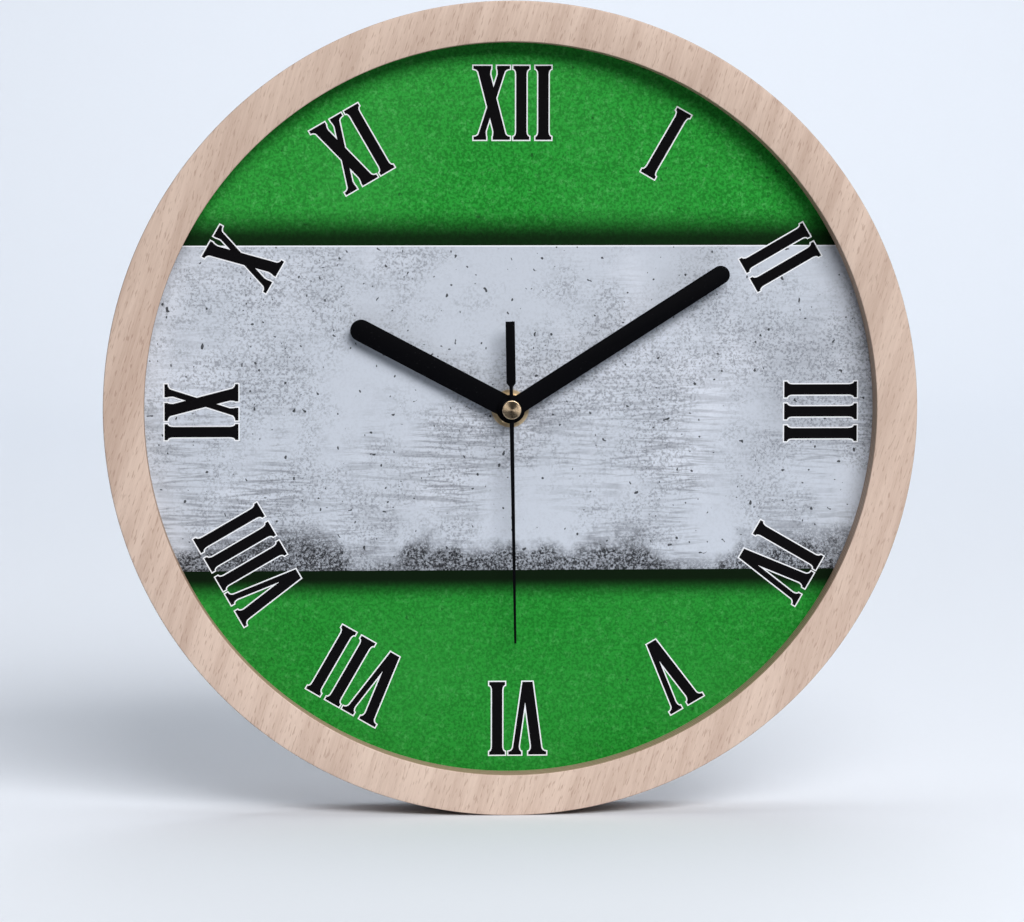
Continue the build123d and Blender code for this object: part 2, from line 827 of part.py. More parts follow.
def clutch_spring():
    """Spring washer pressed on the cannon pinion's tail, behind the centre wheel."""
    return tube(clutch_radius, cannon_tail_radius + press_gap, *depth(clutch_level))


def hour_wheel():
    body = gear(hour_teeth, hour_module, centre, setting_at, False, hour_level)
    body += disc(hour_tube_radius, hour_tube_front, floor + hour_level[0])
    return body - disc(minute_tube_radius + running_gap, hour_tube_front, floor + hour_level[1])


knob_front = well_floor + knob_floor_gap


def minute_wheel():
    """The setting wheel: it reduces the cannon pinion's turn to the hour wheel's, and its shaft carries the knob."""
    body = gear(minute_wheel_teeth, cannon_module, setting_at, centre, False, minute_wheel_level)
    body += gear(minute_pinion_teeth, hour_module, setting_at, centre, True, minute_pinion_level)
    body += shaft(setting_hub_radius, minute_pinion_level[1], minute_wheel_level[0], setting_at)
    body += shaft(pivot_radius, -pivot_depth, minute_pinion_level[0], setting_at)
    return body + disc(setting_shaft_radius, floor + minute_wheel_level[1], knob_front + knob_seat, setting_at)


def knob_arrow():
    """A three-quarter ring that shows that the knob turns."""
    inner = knob_arrow_radius - knob_arrow_width
    quarter = Pos(knob_arrow_radius / 2, -knob_arrow_radius / 2) * Rectangle(knob_arrow_radius, knob_arrow_radius)
    return Pos(*setting_at) * (Circle(knob_arrow_radius) - Circle(inner) - quarter)


def setting_knob():
    """Fluted knob in the well of the back cover."""
    back = knob_front + knob_height
    flute_circle = knob_radius + knob_flute_out
    step = 360 / knob_flutes
    flutes = [Pos(*polar(flute_circle, step * i)) * Circle(knob_flute_radius) for i in range(knob_flutes)]
    body = slab(Pos(*setting_at) * (Circle(knob_radius) - flutes), knob_front, back)
    body -= slab(knob_arrow(), back - knob_arrow_depth, back)
    return body - disc(setting_shaft_radius + press_gap, knob_front, knob_front + knob_seat + end_gap, setting_at)


# ---------------------------------------------------------------- hands
def hand_sketch(length, width, hub):
    """A straight bar with a round tip and a round hub, pointing at 12."""
    straight = length - width / 2
    bar = Pos(0, straight / 2) * Rectangle(width, straight)
    return bar + Pos(0, straight) * Circle(width / 2) + Circle(hub)


def hand(sketch, angle, shaft_radius, front, back):
    turned_sketch = Rot(0, 0, -angle) * sketch
    return slab(turned_sketch, front, back) - disc(shaft_radius + press_gap, front, back)


def hour_hand():
    sketch = hand_sketch(hour_hand_length, hour_hand_width, hour_hub_radius)
    return hand(sketch, hour_hand_angle, hour_tube_radius, hour_hand_front, hour_hand_back)


def minute_hand():
    sketch = hand_sketch(minute_hand_length, minute_hand_width, minute_hub_radius)
    return hand(sketch, minute_hand_angle, minute_tube_radius, minute_hand_front, minute_hand_back)


def second_hand():
    """A tapering needle, with a flat counterweight on a thin arm behind the hub."""
    right_side = [
        (needle_tip_width / 2, second_hand_length),
        (needle_root_width / 2, 0),
        (tail_arm_width / 2, -tail_start),
        (tail_width / 2, -tail_start - tail_flare),
        (tail_width / 2, -tail_end),
    ]
    left_side = [(-x, y) for x, y in reversed(right_side)]
    outline = Polyline(*right_side, *left_side, close=True)
    sketch = make_face(outline) + Circle(second_hub_radius)
    return hand(sketch, second_hand_angle, seconds_arbor_radius, second_hand_front, second_hand_back)


def collet(shaft_radius, wall, hand_back):
    """A short collar behind a hand that grips its tube."""
    return tube(shaft_radius + wall, shaft_radius + press_gap, hand_back, hand_back + collet_height)


def hour_hand_collet():
    return collet(hour_tube_radius, collet_wall, hour_hand_back)


def minute_hand_collet():
    return collet(minute_tube_radius, collet_wall, minute_hand_back)


def second_hand_collet():
    return collet(seconds_arbor_radius, second_collet_wall, second_hand_back)


def second_hand_cap():
    """Turned brass cap on the end of the seconds arbor."""
    outline = [
        (0, second_hand_front),
        (cap_radius, second_hand_front),
        (cap_radius, cap_front + cap_edge),
        (cap_radius - cap_edge, cap_front),
        (0, cap_front),
    ]
    return turned(outline) - disc(seconds_arbor_radius + press_gap, arbor_front - press_gap, second_hand_front)


# ---------------------------------------------------------------- the whole clock
PARTS = [
    front_ring,
    middle_ring,
    back_ring,
    frame_screws,
    dial_board,
    dial_print,
    rubber_gasket,
    hanger_plate,
    threaded_bushing,
    dial_washer,
    dial_nut,
    movement_front_cover,
    movement_back_cover,
    train_bridge,
    stator_plate,
    coil_core,
    coil_bobbin,
    coil_winding,
    stator_screws,
    circuit_board,
    circuit_chip,
    quartz_crystal,
    battery,
    contact_positive,
    contact_negative,
    rotor_pinion,
    rotor_magnet,
    fifth_wheel,
    seconds_wheel,
    seconds_arbor,
    third_wheel,
    centre_wheel,
    cannon_pinion,
    clutch_spring,
    hour_wheel,
    minute_wheel,
    setting_knob,
    hour_hand,
    hour_hand_collet,
    minute_hand,
    minute_hand_collet,
    second_hand,
    second_hand_collet,
    second_hand_cap,
]

os.makedirs("parts", exist_ok=True)
for make_part in PARTS:
    made = make_part()
    shape = Compound(children=made) if isinstance(made, list) else made
    export_step(shape, f"parts/{make_part.__name__}.step")
    print(make_part.__name__, round(shape.volume, 2))
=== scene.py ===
import math

import bmesh
import bpy
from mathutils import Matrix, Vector
from mathutils.geometry import delaunay_2d_cdt


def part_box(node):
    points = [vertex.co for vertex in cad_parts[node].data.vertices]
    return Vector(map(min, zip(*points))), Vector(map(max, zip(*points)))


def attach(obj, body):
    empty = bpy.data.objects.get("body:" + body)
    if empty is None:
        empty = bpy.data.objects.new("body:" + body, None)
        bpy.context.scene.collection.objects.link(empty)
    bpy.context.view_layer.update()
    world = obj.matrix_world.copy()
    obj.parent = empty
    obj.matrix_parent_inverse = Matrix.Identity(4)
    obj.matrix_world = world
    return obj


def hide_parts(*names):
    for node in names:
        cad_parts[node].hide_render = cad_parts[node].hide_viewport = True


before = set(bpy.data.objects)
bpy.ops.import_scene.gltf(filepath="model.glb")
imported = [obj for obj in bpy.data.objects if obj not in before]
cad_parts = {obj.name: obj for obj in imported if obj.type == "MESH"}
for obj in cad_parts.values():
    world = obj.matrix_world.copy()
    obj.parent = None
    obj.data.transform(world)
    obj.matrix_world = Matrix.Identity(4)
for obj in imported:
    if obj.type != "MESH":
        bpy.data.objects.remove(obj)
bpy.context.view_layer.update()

# ---------------------------------------------------------------- the wooden case
# Three rings sawn from birch plywood, glued face to face and screwed from behind. The veneer's grain runs one way
# over the whole front, a little off the upright, and the cut edges show the plies. A thin matt lacquer covers it.

MM = 0.001


def put(tree, kind, inputs=None, **settings):
    """Adds a node to a tree, sets it up, and feeds its inputs from values or from other nodes' outputs."""
    node = tree.nodes.new(kind)
    for name, value in settings.items():
        setattr(node, name, value)
    for key, value in (inputs or {}).items():
        if isinstance(value, bpy.types.NodeSocket):
            tree.links.new(value, node.inputs[key])
        else:
            node.inputs[key].default_value = value
    return node


def sums(tree, operation, first, second=0.0, clamp=False):
    """One step of arithmetic on two numbers or sockets."""
    return put(tree, "ShaderNodeMath", {0: first, 1: second}, operation=operation, use_clamp=clamp).outputs[0]


def spread(tree, value, low, high, to_low=0.0, to_high=1.0):
    """Maps low..high onto to_low..to_high, held at both ends."""
    inputs = {"Value": value, "From Min": low, "From Max": high, "To Min": to_low, "To Max": to_high}
    return put(tree, "ShaderNodeMapRange", inputs, interpolation_type="SMOOTHSTEP").outputs[0]


def tint(tree, amount, first, second, blend="MIX"):
    """Mixes two colours by an amount from 0 to 1."""
    node = put(tree, "ShaderNodeMix", {0: amount}, data_type="RGBA", blend_type=blend)
    for key, value in ((6, first), (7, second)):
        if isinstance(value, bpy.types.NodeSocket):
            tree.links.new(value, node.inputs[key])
        else:
            node.inputs[key].default_value = (*value, 1.0)
    return node.outputs[2]


def new_group(name, inputs, outputs):
    """An empty shader node group with named inputs, each with a default, and named number outputs."""
    tree = bpy.data.node_groups.new(name, "ShaderNodeTree")
    for socket, default in inputs.items():
        kind = "NodeSocketVector" if default is None else "NodeSocketFloat"
        made = tree.interface.new_socket(socket, in_out="INPUT", socket_type=kind)
        if default is not None:
            made.default_value = default
    for socket in outputs:
        tree.interface.new_socket(socket, in_out="OUTPUT", socket_type="NodeSocketFloat")
    return tree, tree.nodes.new("NodeGroupInput").outputs, tree.nodes.new("NodeGroupOutput").inputs


def place(tree, group, inputs):
    """Puts a node group in a material and returns its outputs."""
    return put(tree, "ShaderNodeGroup", {**{"Vector": at_rest(tree)}, **inputs}, node_tree=group).outputs


def at_rest(tree):
    """The point on the surface in the piece's own metres."""
    return put(tree, "ShaderNodeTexCoord").outputs["Object"]


def make_streaks():
    """Long fine marks that lie at an angle to the upright: wood fibre, brush marks, drawn metal."""
    tree, given, result = new_group(
        "streaks", {"Vector": None, "Angle": 0.0, "Across": 1000.0, "Along": 50.0, "Detail": 3.0}, ["Value"]
    )
    turned = put(
        tree, "ShaderNodeVectorRotate", {"Vector": given["Vector"], "Angle": given["Angle"]}, rotation_type="Y_AXIS"
    )
    scale = put(tree, "ShaderNodeCombineXYZ", {"X": given["Across"], "Y": given["Across"], "Z": given["Along"]})
    stretched = put(tree, "ShaderNodeVectorMath", {0: turned.outputs[0], 1: scale.outputs[0]}, operation="MULTIPLY")
    noise = put(
        tree,
        "ShaderNodeTexNoise",
        {"Vector": stretched.outputs[0], "Scale": 1.0, "Detail": given["Detail"], "Roughness": 0.6},
    )
    tree.links.new(noise.outputs[0], result["Value"])
    return tree


def make_patches():
    """Soft-edged blotches. Low and High set how much of the surface they cover and how soft they are."""
    tree, given, result = new_group(
        "patches", {"Vector": None, "Scale": 20.0, "Low": 0.45, "High": 0.6, "Detail": 4.0, "Rough": 0.55}, ["Mask"]
    )
    noise = put(
        tree,
        "ShaderNodeTexNoise",
        {"Vector": given["Vector"], "Scale": given["Scale"], "Detail": given["Detail"], "Roughness": given["Rough"]},
    )
    tree.links.new(spread(tree, noise.outputs[0], given["Low"], given["High"]), result["Mask"])
    return tree


streaks = make_streaks()
patches = make_patches()


def new_material(name):
    """A material with a Principled shader, ready to be fed."""
    material = bpy.data.materials.new(name)
    material.use_nodes = True
    return material, material.node_tree, material.node_tree.nodes["Principled BSDF"]


def feed(tree, shader, values):
    """Sets or links a shader's inputs by name."""
    for name, value in values.items():
        if isinstance(value, bpy.types.NodeSocket):
            tree.links.new(value, shader.inputs[name])
        else:
            shader.inputs[name].default_value = (*value, 1.0) if isinstance(value, tuple) else value


def raised(tree, height, distance, strength=1.0):
    """A normal that shows a height of so many metres."""
    return put(tree, "ShaderNodeBump", {"Height": height, "Distance": distance, "Strength": strength}).outputs[0]


GRAIN_LEAN = math.radians(-17)
PLY = 1.43 * MM
VENEER_LIGHT = (0.615, 0.475, 0.395)
VENEER_DARK = (0.475, 0.345, 0.278)
VENEER_PORE = (0.30, 0.19, 0.14)
VENEER_SHINE = (0.61, 0.485, 0.405)
PLY_PALE = (0.50, 0.36, 0.26)
PLY_END_GRAIN = (0.30, 0.19, 0.13)
GLUE_LINE = (0.13, 0.075, 0.05)


def birch_plywood():
    material, tree, shader = new_material("birch_plywood")
    fibre = place(tree, streaks, {"Angle": GRAIN_LEAN, "Across": 2300.0, "Along": 95.0})["Value"]
    figure = place(tree, streaks, {"Angle": GRAIN_LEAN, "Across": 150.0, "Along": 9.0, "Detail": 4.0})["Value"]
    dash = place(tree, streaks, {"Angle": GRAIN_LEAN, "Across": 1500.0, "Along": 230.0, "Detail": 1.0})["Value"]
    cloud = place(tree, patches, {"Scale": 11.0, "Low": 0.35, "High": 0.7})["Mask"]
    pores = spread(tree, dash, 0.57, 0.68)
    tone = spread(tree, figure, 0.3, 0.72)
    tone = sums(tree, "ADD", tone, sums(tree, "MULTIPLY", sums(tree, "SUBTRACT", fibre, 0.5), 1.3), clamp=True)
    face = tint(tree, tone, VENEER_LIGHT, VENEER_DARK)
    face = tint(tree, sums(tree, "MULTIPLY", pores, 0.5), face, VENEER_PORE)
    face = tint(tree, sums(tree, "MULTIPLY", cloud, 0.2), face, VENEER_SHINE)

    parts = put(tree, "ShaderNodeSeparateXYZ", {0: at_rest(tree)})
    layer = sums(tree, "DIVIDE", parts.outputs["Y"], PLY)
    odd = sums(tree, "PINGPONG", sums(tree, "FLOOR", layer), 1.0)
    glue = spread(tree, sums(tree, "PINGPONG", layer, 0.5), 0.03, 0.10, 1.0, 0.0)
    saw = place(tree, streaks, {"Angle": 0.0, "Across": 900.0, "Along": 900.0, "Detail": 4.0})["Value"]
    edge = tint(tree, odd, PLY_PALE, PLY_END_GRAIN)
    edge = tint(tree, sums(tree, "MULTIPLY", saw, 0.45), edge, PLY_END_GRAIN)
    edge = tint(tree, sums(tree, "MULTIPLY", glue, 0.6), edge, GLUE_LINE)

    facing = put(tree, "ShaderNodeSeparateXYZ", {0: put(tree, "ShaderNodeNewGeometry").outputs["Normal"]}).outputs["Y"]
    is_edge = spread(tree, sums(tree, "ABSOLUTE", facing), 0.55, 0.75, 1.0, 0.0)
    height = sums(tree, "SUBTRACT", sums(tree, "MULTIPLY", fibre, 0.5), pores)
    values = {
        "Base Color": tint(tree, is_edge, face, edge),
        "Roughness": spread(tree, fibre, 0.3, 0.7, 0.52, 0.66),
        "Coat Weight": 0.12,
        "Coat Roughness": 0.45,
        "Normal": raised(tree, height, 0.05 * MM, 0.6),
    }
    feed(tree, shader, values)
    return material


def radii(node):
    """The largest and the smallest distance of a turned node's surface from the hands' axis."""
    reach = [math.hypot(v.co.x, v.co.z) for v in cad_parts[node].data.vertices]
    return max(reach), min(reach)


def lathe(name, outline, material, segments=288):
    """Turns a closed outline of (radius, y) points round the hands' axis."""
    steps = [2 * math.pi * i / segments for i in range(segments)]
    points = [(r * math.cos(a), y, r * math.sin(a)) for a in steps for r, y in outline]
    count = len(outline)
    faces = []
    for i in range(segments):
        here, there = i * count, (i + 1) % segments * count
        for j in range(count):
            k = (j + 1) % count
            faces.append((here + j, here + k, there + k, there + j))
    mesh = bpy.data.meshes.new(name)
    mesh.from_pydata(points, [], faces)
    return finished(name, mesh, material)


def finished(name, mesh, material, smooth_angle=35.0):
    """Cleans a mesh, points its faces outward, shades it smooth up to an angle, and puts it in the scene."""
    work = bmesh.new()
    work.from_mesh(mesh)
    bmesh.ops.remove_doubles(work, verts=work.verts, dist=0.001 * MM)
    bmesh.ops.dissolve_degenerate(work, dist=0.0005 * MM, edges=work.edges)
    bmesh.ops.recalc_face_normals(work, faces=work.faces)
    work.to_mesh(mesh)
    work.free()
    mesh.materials.append(material)
    mesh.shade_smooth()
    mesh.set_sharp_from_angle(angle=math.radians(smooth_angle))
    piece = bpy.data.objects.new(name, mesh)
    bpy.context.scene.collection.objects.link(piece)
    return piece


def corner(r, y, radius, start, steps=4):
    """A rounded corner: a quarter turn about (r, y) from a start angle in degrees."""
    turns = [math.radians(start + 90 * i / steps) for i in range(steps + 1)]
    return [(r + radius * math.cos(t), y + radius * math.sin(t)) for t in turns]


ARRIS = 0.45 * MM
plywood = birch_plywood()


def front_ring():
    low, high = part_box("front_ring")
    outer, inner = radii("front_ring")[0], radii("back_ring")[1]
    outline = corner(outer - ARRIS, low.y + ARRIS, ARRIS, 270)
    outline += [(outer, high.y), (inner, high.y)]
    outline += corner(inner + ARRIS, low.y + ARRIS, ARRIS, 180)
    piece = lathe("case_front_ring", outline, plywood)
    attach(piece, "case")
    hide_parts("front_ring")


front_ring()
for ring in ("middle_ring", "back_ring"):
    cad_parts[ring].data.materials.clear()
    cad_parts[ring].data.materials.append(plywood)


# ---------------------------------------------------------------- the dial
# A disc of smooth hardboard, with a matt printed sheet glued to its front. The print shows a pale plaster band, with
# trowel marks and a sooty lower edge, over a field of speckled green that darkens where the band seems to lie on it.

BAND_TOP = 60.3 * MM
BAND_BOTTOM = -60.0 * MM
GREEN = (0.021, 0.30, 0.036)
GREEN_DEEP = (0.006, 0.13, 0.012)
GREEN_PALE = (0.075, 0.41, 0.095)
PLASTER = (0.51, 0.553, 0.63)
PLASTER_PALE = (0.66, 0.70, 0.79)
PLASTER_DULL = (0.345, 0.37, 0.42)
PLASTER_GRIT = (0.10, 0.105, 0.12)
SOOT = (0.022, 0.023, 0.027)


def green_field(tree, z):
    """Speckled green, with a dark shade above and below the band."""
    grit = place(tree, patches, {"Scale": 900.0, "Low": 0.42, "High": 0.58, "Detail": 3.0, "Rough": 0.7})["Mask"]
    light = place(tree, patches, {"Scale": 520.0, "Low": 0.52, "High": 0.74, "Detail": 4.0, "Rough": 0.7})["Mask"]
    cloud = place(tree, patches, {"Scale": 16.0, "Low": 0.3, "High": 0.72})["Mask"]
    spots = place(tree, patches, {"Scale": 330.0, "Low": 0.66, "High": 0.74, "Detail": 3.0, "Rough": 0.6})["Mask"]
    colour = tint(tree, sums(tree, "MULTIPLY", grit, 0.72), GREEN, GREEN_DEEP)
    colour = tint(tree, sums(tree, "MULTIPLY", light, 0.8), colour, GREEN_PALE)
    colour = tint(tree, sums(tree, "MULTIPLY", cloud, 0.16), colour, GREEN_PALE)
    colour = tint(tree, sums(tree, "MULTIPLY", spots, 0.7), colour, (0.008, 0.05, 0.012))
    above = spread(tree, z, BAND_TOP + 2.4 * MM, BAND_TOP + 15.3 * MM, 0.96, 0.0)
    below = spread(tree, z, BAND_BOTTOM - 12.4 * MM, BAND_BOTTOM - 3 * MM, 0.0, 0.995)
    is_upper = sums(tree, "GREATER_THAN", z, 0.0)
    is_lower = sums(tree, "LESS_THAN", z, 0.0)
    colour = tint(tree, sums(tree, "MULTIPLY", is_lower, 0.3), colour, GREEN_DEEP)
    shade = sums(tree, "ADD", sums(tree, "MULTIPLY", above, is_upper), sums(tree, "MULTIPLY", below, is_lower))
    return tint(tree, shade, colour, (0.002, 0.008, 0.002))


def trowel_marks(tree, z):
    """Where the trowel left fine arced lines and a field of dark grit."""
    lines = place(tree, streaks, {"Angle": math.radians(87), "Across": 760.0, "Along": 34.0, "Detail": 3.0})["Value"]
    crossing = place(tree, streaks, {"Angle": math.radians(94), "Across": 900.0, "Along": 48.0, "Detail": 3.0})["Value"]
    worn = place(tree, patches, {"Scale": 21.0, "Low": 0.40, "High": 0.58, "Detail": 5.0, "Rough": 0.6})["Mask"]
    lower = spread(tree, z, -25 * MM, 25 * MM, 1.0, 0.25)
    drawn = sums(tree, "MAXIMUM", spread(tree, lines, 0.50, 0.60), spread(tree, crossing, 0.52, 0.62))
    drawn = sums(tree, "MULTIPLY", sums(tree, "MULTIPLY", drawn, worn), lower)
    grit = place(tree, patches, {"Scale": 1250.0, "Low": 0.47, "High": 0.60, "Detail": 3.0, "Rough": 0.7})["Mask"]
    field = place(tree, patches, {"Scale": 24.0, "Low": 0.36, "High": 0.62, "Detail": 6.0, "Rough": 0.62})["Mask"]
    field = spread(tree, field, 0.0, 1.0, 0.06, 0.55)
    return sums(tree, "MULTIPLY", drawn, 0.5), sums(tree, "MULTIPLY", grit, field)


def plaster_band(tree, z):
    """Pale plaster with trowel lines, dark grit where the skin is worn, pale smears and a sooty lower edge."""
    pale = place(tree, patches, {"Scale": 19.0, "Low": 0.46, "High": 0.74, "Detail": 6.0, "Rough": 0.62})["Mask"]
    dull = place(tree, patches, {"Scale": 13.0, "Low": 0.48, "High": 0.78, "Detail": 5.0})["Mask"]
    pits = place(tree, patches, {"Scale": 620.0, "Low": 0.80, "High": 0.83, "Detail": 0.0})["Mask"]
    drawn, grit = trowel_marks(tree, z)
    colour = tint(tree, sums(tree, "MULTIPLY", dull, 0.65), PLASTER, PLASTER_DULL)
    colour = tint(tree, sums(tree, "MULTIPLY", pale, 0.75), colour, PLASTER_PALE)
    colour = tint(tree, drawn, colour, PLASTER_GRIT)
    colour = tint(tree, grit, colour, PLASTER_GRIT)
    colour = tint(tree, sums(tree, "MULTIPLY", pits, 0.9), colour, SOOT)
    reach = place(tree, patches, {"Scale": 27.0, "Low": 0.30, "High": 0.66, "Detail": 5.0, "Rough": 0.6})["Mask"]
    grain = place(tree, patches, {"Scale": 1300.0, "Low": 0.34, "High": 0.62, "Detail": 3.0, "Rough": 0.75})["Mask"]
    top = spread(tree, reach, 0.0, 1.0, BAND_BOTTOM + 6 * MM, BAND_BOTTOM + 19 * MM)
    depth = sums(tree, "DIVIDE", sums(tree, "SUBTRACT", top, z), 9 * MM, clamp=True)
    soot = sums(tree, "MULTIPLY", depth, spread(tree, grain, 0.0, 1.0, 0.32, 1.0))
    colour = tint(tree, soot, colour, SOOT)
    is_rim = sums(tree, "GREATER_THAN", z, BAND_TOP - 0.45 * MM)
    return tint(tree, sums(tree, "MULTIPLY", is_rim, 0.85), colour, (0.86, 0.89, 0.95))


def dial_paper():
    material, tree, shader = new_material("dial_paper")
    z = put(tree, "ShaderNodeSeparateXYZ", {0: at_rest(tree)}).outputs["Z"]
    in_band = sums(tree, "MULTIPLY", sums(tree, "LESS_THAN", z, BAND_TOP), sums(tree, "GREATER_THAN", z, BAND_BOTTOM))
    paper = place(tree, patches, {"Scale": 2500.0, "Low": 0.3, "High": 0.7, "Detail": 2.0})["Mask"]
    values = {
        "Base Color": tint(tree, in_band, green_field(tree, z), plaster_band(tree, z)),
        "Roughness": spread(tree, paper, 0.0, 1.0, 0.62, 0.74),
        "Specular IOR Level": 0.05,
        "Normal": raised(tree, paper, 0.008 * MM, 0.35),
    }
    feed(tree, shader, values)
    return material


def hardboard():
    material, tree, shader = new_material("hardboard")
    fibre = place(tree, patches, {"Scale": 700.0, "Low": 0.3, "High": 0.7, "Detail": 5.0, "Rough": 0.7})["Mask"]
    flakes = place(tree, streaks, {"Angle": 0.7, "Across": 900.0, "Along": 220.0})["Value"]
    colour = tint(tree, fibre, (0.16, 0.085, 0.042), (0.26, 0.15, 0.08))
    colour = tint(tree, spread(tree, flakes, 0.55, 0.75, 0.0, 0.5), colour, (0.09, 0.045, 0.022))
    values = {
        "Base Color": colour,
        "Roughness": spread(tree, fibre, 0.0, 1.0, 0.48, 0.7),
        "Normal": raised(tree, fibre, 0.03 * MM, 0.5),
    }
    feed(tree, shader, values)
    return material


def finish_node(node, material):
    """Gives a CAD node its finished material."""
    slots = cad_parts[node].data.materials
    slots.clear()
    slots.append(material)


finish_node("dial_print", dial_paper())
finish_node("dial_board", hardboard())


# ---------------------------------------------------------------- the numerals
# Roman numerals, printed in black with a thin white outline, their tops outward. They are two layers of ink, so the
# outline's layer lies on the sheet and the black lies on that.

LETTER_HEIGHT = 27.2 * MM
SERIF_THICKNESS = 1.15 * MM
SERIF_BRACKET = 2.0 * MM
OUTLINE_WIDTH = 0.45 * MM
INK_LAYER = 0.02 * MM
NUMERAL_RADIUS = 113.7 * MM
LETTER_WIDTH = {"I": 5.9 * MM, "V": 14.1 * MM, "X": 13.5 * MM}
SAME_LETTER_GAP = 2.25 * MM
LETTER_GAP = 1.25 * MM
# each numeral, with its middle's shift from an even place on the circle, in mm to the right and up
NUMERALS = (
    ("I", 0.7, -0.6), ("II", 1.7, -1.1), ("III", 1.85, -1.45), ("IV", 1.4, -1.05), ("V", 2.6, -0.6), ("VI", 3.0, -1.65),
    ("VII", 0.75, -0.75), ("VIII", 2.4, -0.7), ("IX", -0.3, -1.0), ("X", -0.15, -1.5), ("XI", -1.6, -2.75),
    ("XII", 0.7, -0.9),
)


def serif(middle, width, left, right):
    """A foot from the base line up, with hollow brackets that run into a stroke's left and right sides."""
    low, top = SERIF_THICKNESS, SERIF_THICKNESS + SERIF_BRACKET
    x0, x1 = middle - width / 2, middle + width / 2
    turns = [math.radians(90 * i / 5) for i in range(6)]
    right_side = [(x1 - (x1 - right) * math.sin(t), top - SERIF_BRACKET * math.cos(t)) for t in turns]
    left_side = [(x0 + (left - x0) * math.sin(t), top - SERIF_BRACKET * math.cos(t)) for t in turns]
    return [(x0, 0.0), (x1, 0.0), *right_side, *reversed(left_side)]


def stroke(bottom, top, width, bottom_serif, top_serif):
    """A straight stroke between two places on the base line and the cap line, with its serifs."""
    half = width / 2
    shapes = [[(bottom - half, 0), (bottom + half, 0), (top + half, LETTER_HEIGHT), (top - half, LETTER_HEIGHT)]]
    lean = (top - bottom) * (SERIF_THICKNESS + SERIF_BRACKET) / LETTER_HEIGHT
    if bottom_serif:
        shapes.append(serif(bottom, bottom_serif, bottom + lean - half, bottom + lean + half))
    if top_serif:
        foot = serif(top, top_serif, top - lean - half, top - lean + half)
        shapes.append([(x, LETTER_HEIGHT - y) for x, y in reversed(foot)])
    return shapes


def letter(kind):
    """The shapes that make one letter, from its left edge on the base line."""
    if kind == "I":
        middle = LETTER_WIDTH["I"] / 2
        return stroke(middle, middle, 3.85 * MM, 5.9 * MM, 5.9 * MM)
    if kind == "V":
        thick = stroke(7.0 * MM, 3.35 * MM, 3.8 * MM, None, 6.7 * MM)
        return thick + stroke(7.85 * MM, 11.7 * MM, 2.1 * MM, None, 4.8 * MM)
    thick = stroke(10.3 * MM, 3.3 * MM, 4.2 * MM, 6.4 * MM, 6.6 * MM)
    return thick + stroke(2.4 * MM, 11.1 * MM, 2.3 * MM, 4.7 * MM, 4.8 * MM)


def grown(shape, by):
    """A shape with each side moved outward."""
    moved = []
    for i, point in enumerate(shape):
        before, after = Vector(shape[i - 1]), Vector(shape[(i + 1) % len(shape)])
        here = Vector(point)
        into, out = (here - before).normalized(), (after - here).normalized()
        first, second = Vector((into.y, -into.x)), Vector((out.y, -out.x))
        moved.append(tuple(here + (first + second) * by / (1 + first.dot(second))))
    return moved


def numeral_shapes(text):
    """The shapes of a whole numeral, centred."""
    shapes, x, last = [], 0.0, None
    for kind in text:
        if last:
            x += SAME_LETTER_GAP if last == kind else LETTER_GAP
        shapes += [[(x + px, py - LETTER_HEIGHT / 2) for px, py in shape] for shape in letter(kind)]
        x += LETTER_WIDTH[kind]
        last = kind
    return [[(px - x / 2, py) for px, py in shape] for shape in shapes]


def on_dial(point, hour, shift):
    """A numeral's own point, moved to its place on the dial."""
    angle = math.radians(30 * hour)
    across, out = point[0], NUMERAL_RADIUS + point[1]
    x = shift[0] + across * math.cos(angle) + out * math.sin(angle)
    return x, shift[1] - across * math.sin(angle) + out * math.cos(angle)


def ink_mesh(name, grow, back, thickness):
    """All twelve numerals as one thin layer of ink, with what overlaps joined."""
    work = bmesh.new()
    for hour, (text, right, up) in enumerate(NUMERALS, start=1):
        shapes = [grown(shape, grow) if grow else shape for shape in numeral_shapes(text)]
        corners = [Vector(on_dial(point, hour, (right * MM, up * MM))) for shape in shapes for point in shape]
        faces, start = [], 0
        for shape in shapes:
            faces.append(list(range(start, start + len(shape))))
            start += len(shape)
        flat = delaunay_2d_cdt(corners, [], faces, 1, 0.0001 * MM)
        points = [work.verts.new((p.x, back, p.y)) for p in flat[0]]
        for triangle in flat[2]:
            work.faces.new([points[i] for i in triangle])
    rim = bmesh.ops.extrude_face_region(work, geom=list(work.faces))
    lifted = [v for v in rim["geom"] if isinstance(v, bmesh.types.BMVert)]
    bmesh.ops.translate(work, verts=lifted, vec=(0, -thickness, 0))
    mesh = bpy.data.meshes.new(name)
    work.to_mesh(mesh)
    work.free()
    return mesh


def ink(name, base, speck):
    material, tree, shader = new_material(name)
    grain = place(tree, patches, {"Scale": 1800.0, "Low": 0.4, "High": 0.75, "Detail": 3.0})["Mask"]
    values = {
        "Base Color": tint(tree, sums(tree, "MULTIPLY", grain, 0.3), base, speck),
        "Roughness": spread(tree, grain, 0.0, 1.0, 0.6, 0.72),
        "Specular IOR Level": 0.02,
        "Normal": raised(tree, grain, 0.006 * MM, 0.3),
    }
    feed(tree, shader, values)
    return material


def numerals():
    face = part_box("dial_print")[0].y
    layers = [
        ("numeral_outlines", OUTLINE_WIDTH, face, ink("white_ink", (0.78, 0.80, 0.84), (0.62, 0.64, 0.68))),
        ("numeral_blacks", 0.0, face - INK_LAYER, ink("black_ink", (0.0035, 0.0032, 0.004), (0.008, 0.008, 0.010))),
    ]
    for name, grow, back, material in layers:
        piece = finished(name, ink_mesh(name, grow, back, INK_LAYER), material)
        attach(piece, "case")


numerals()


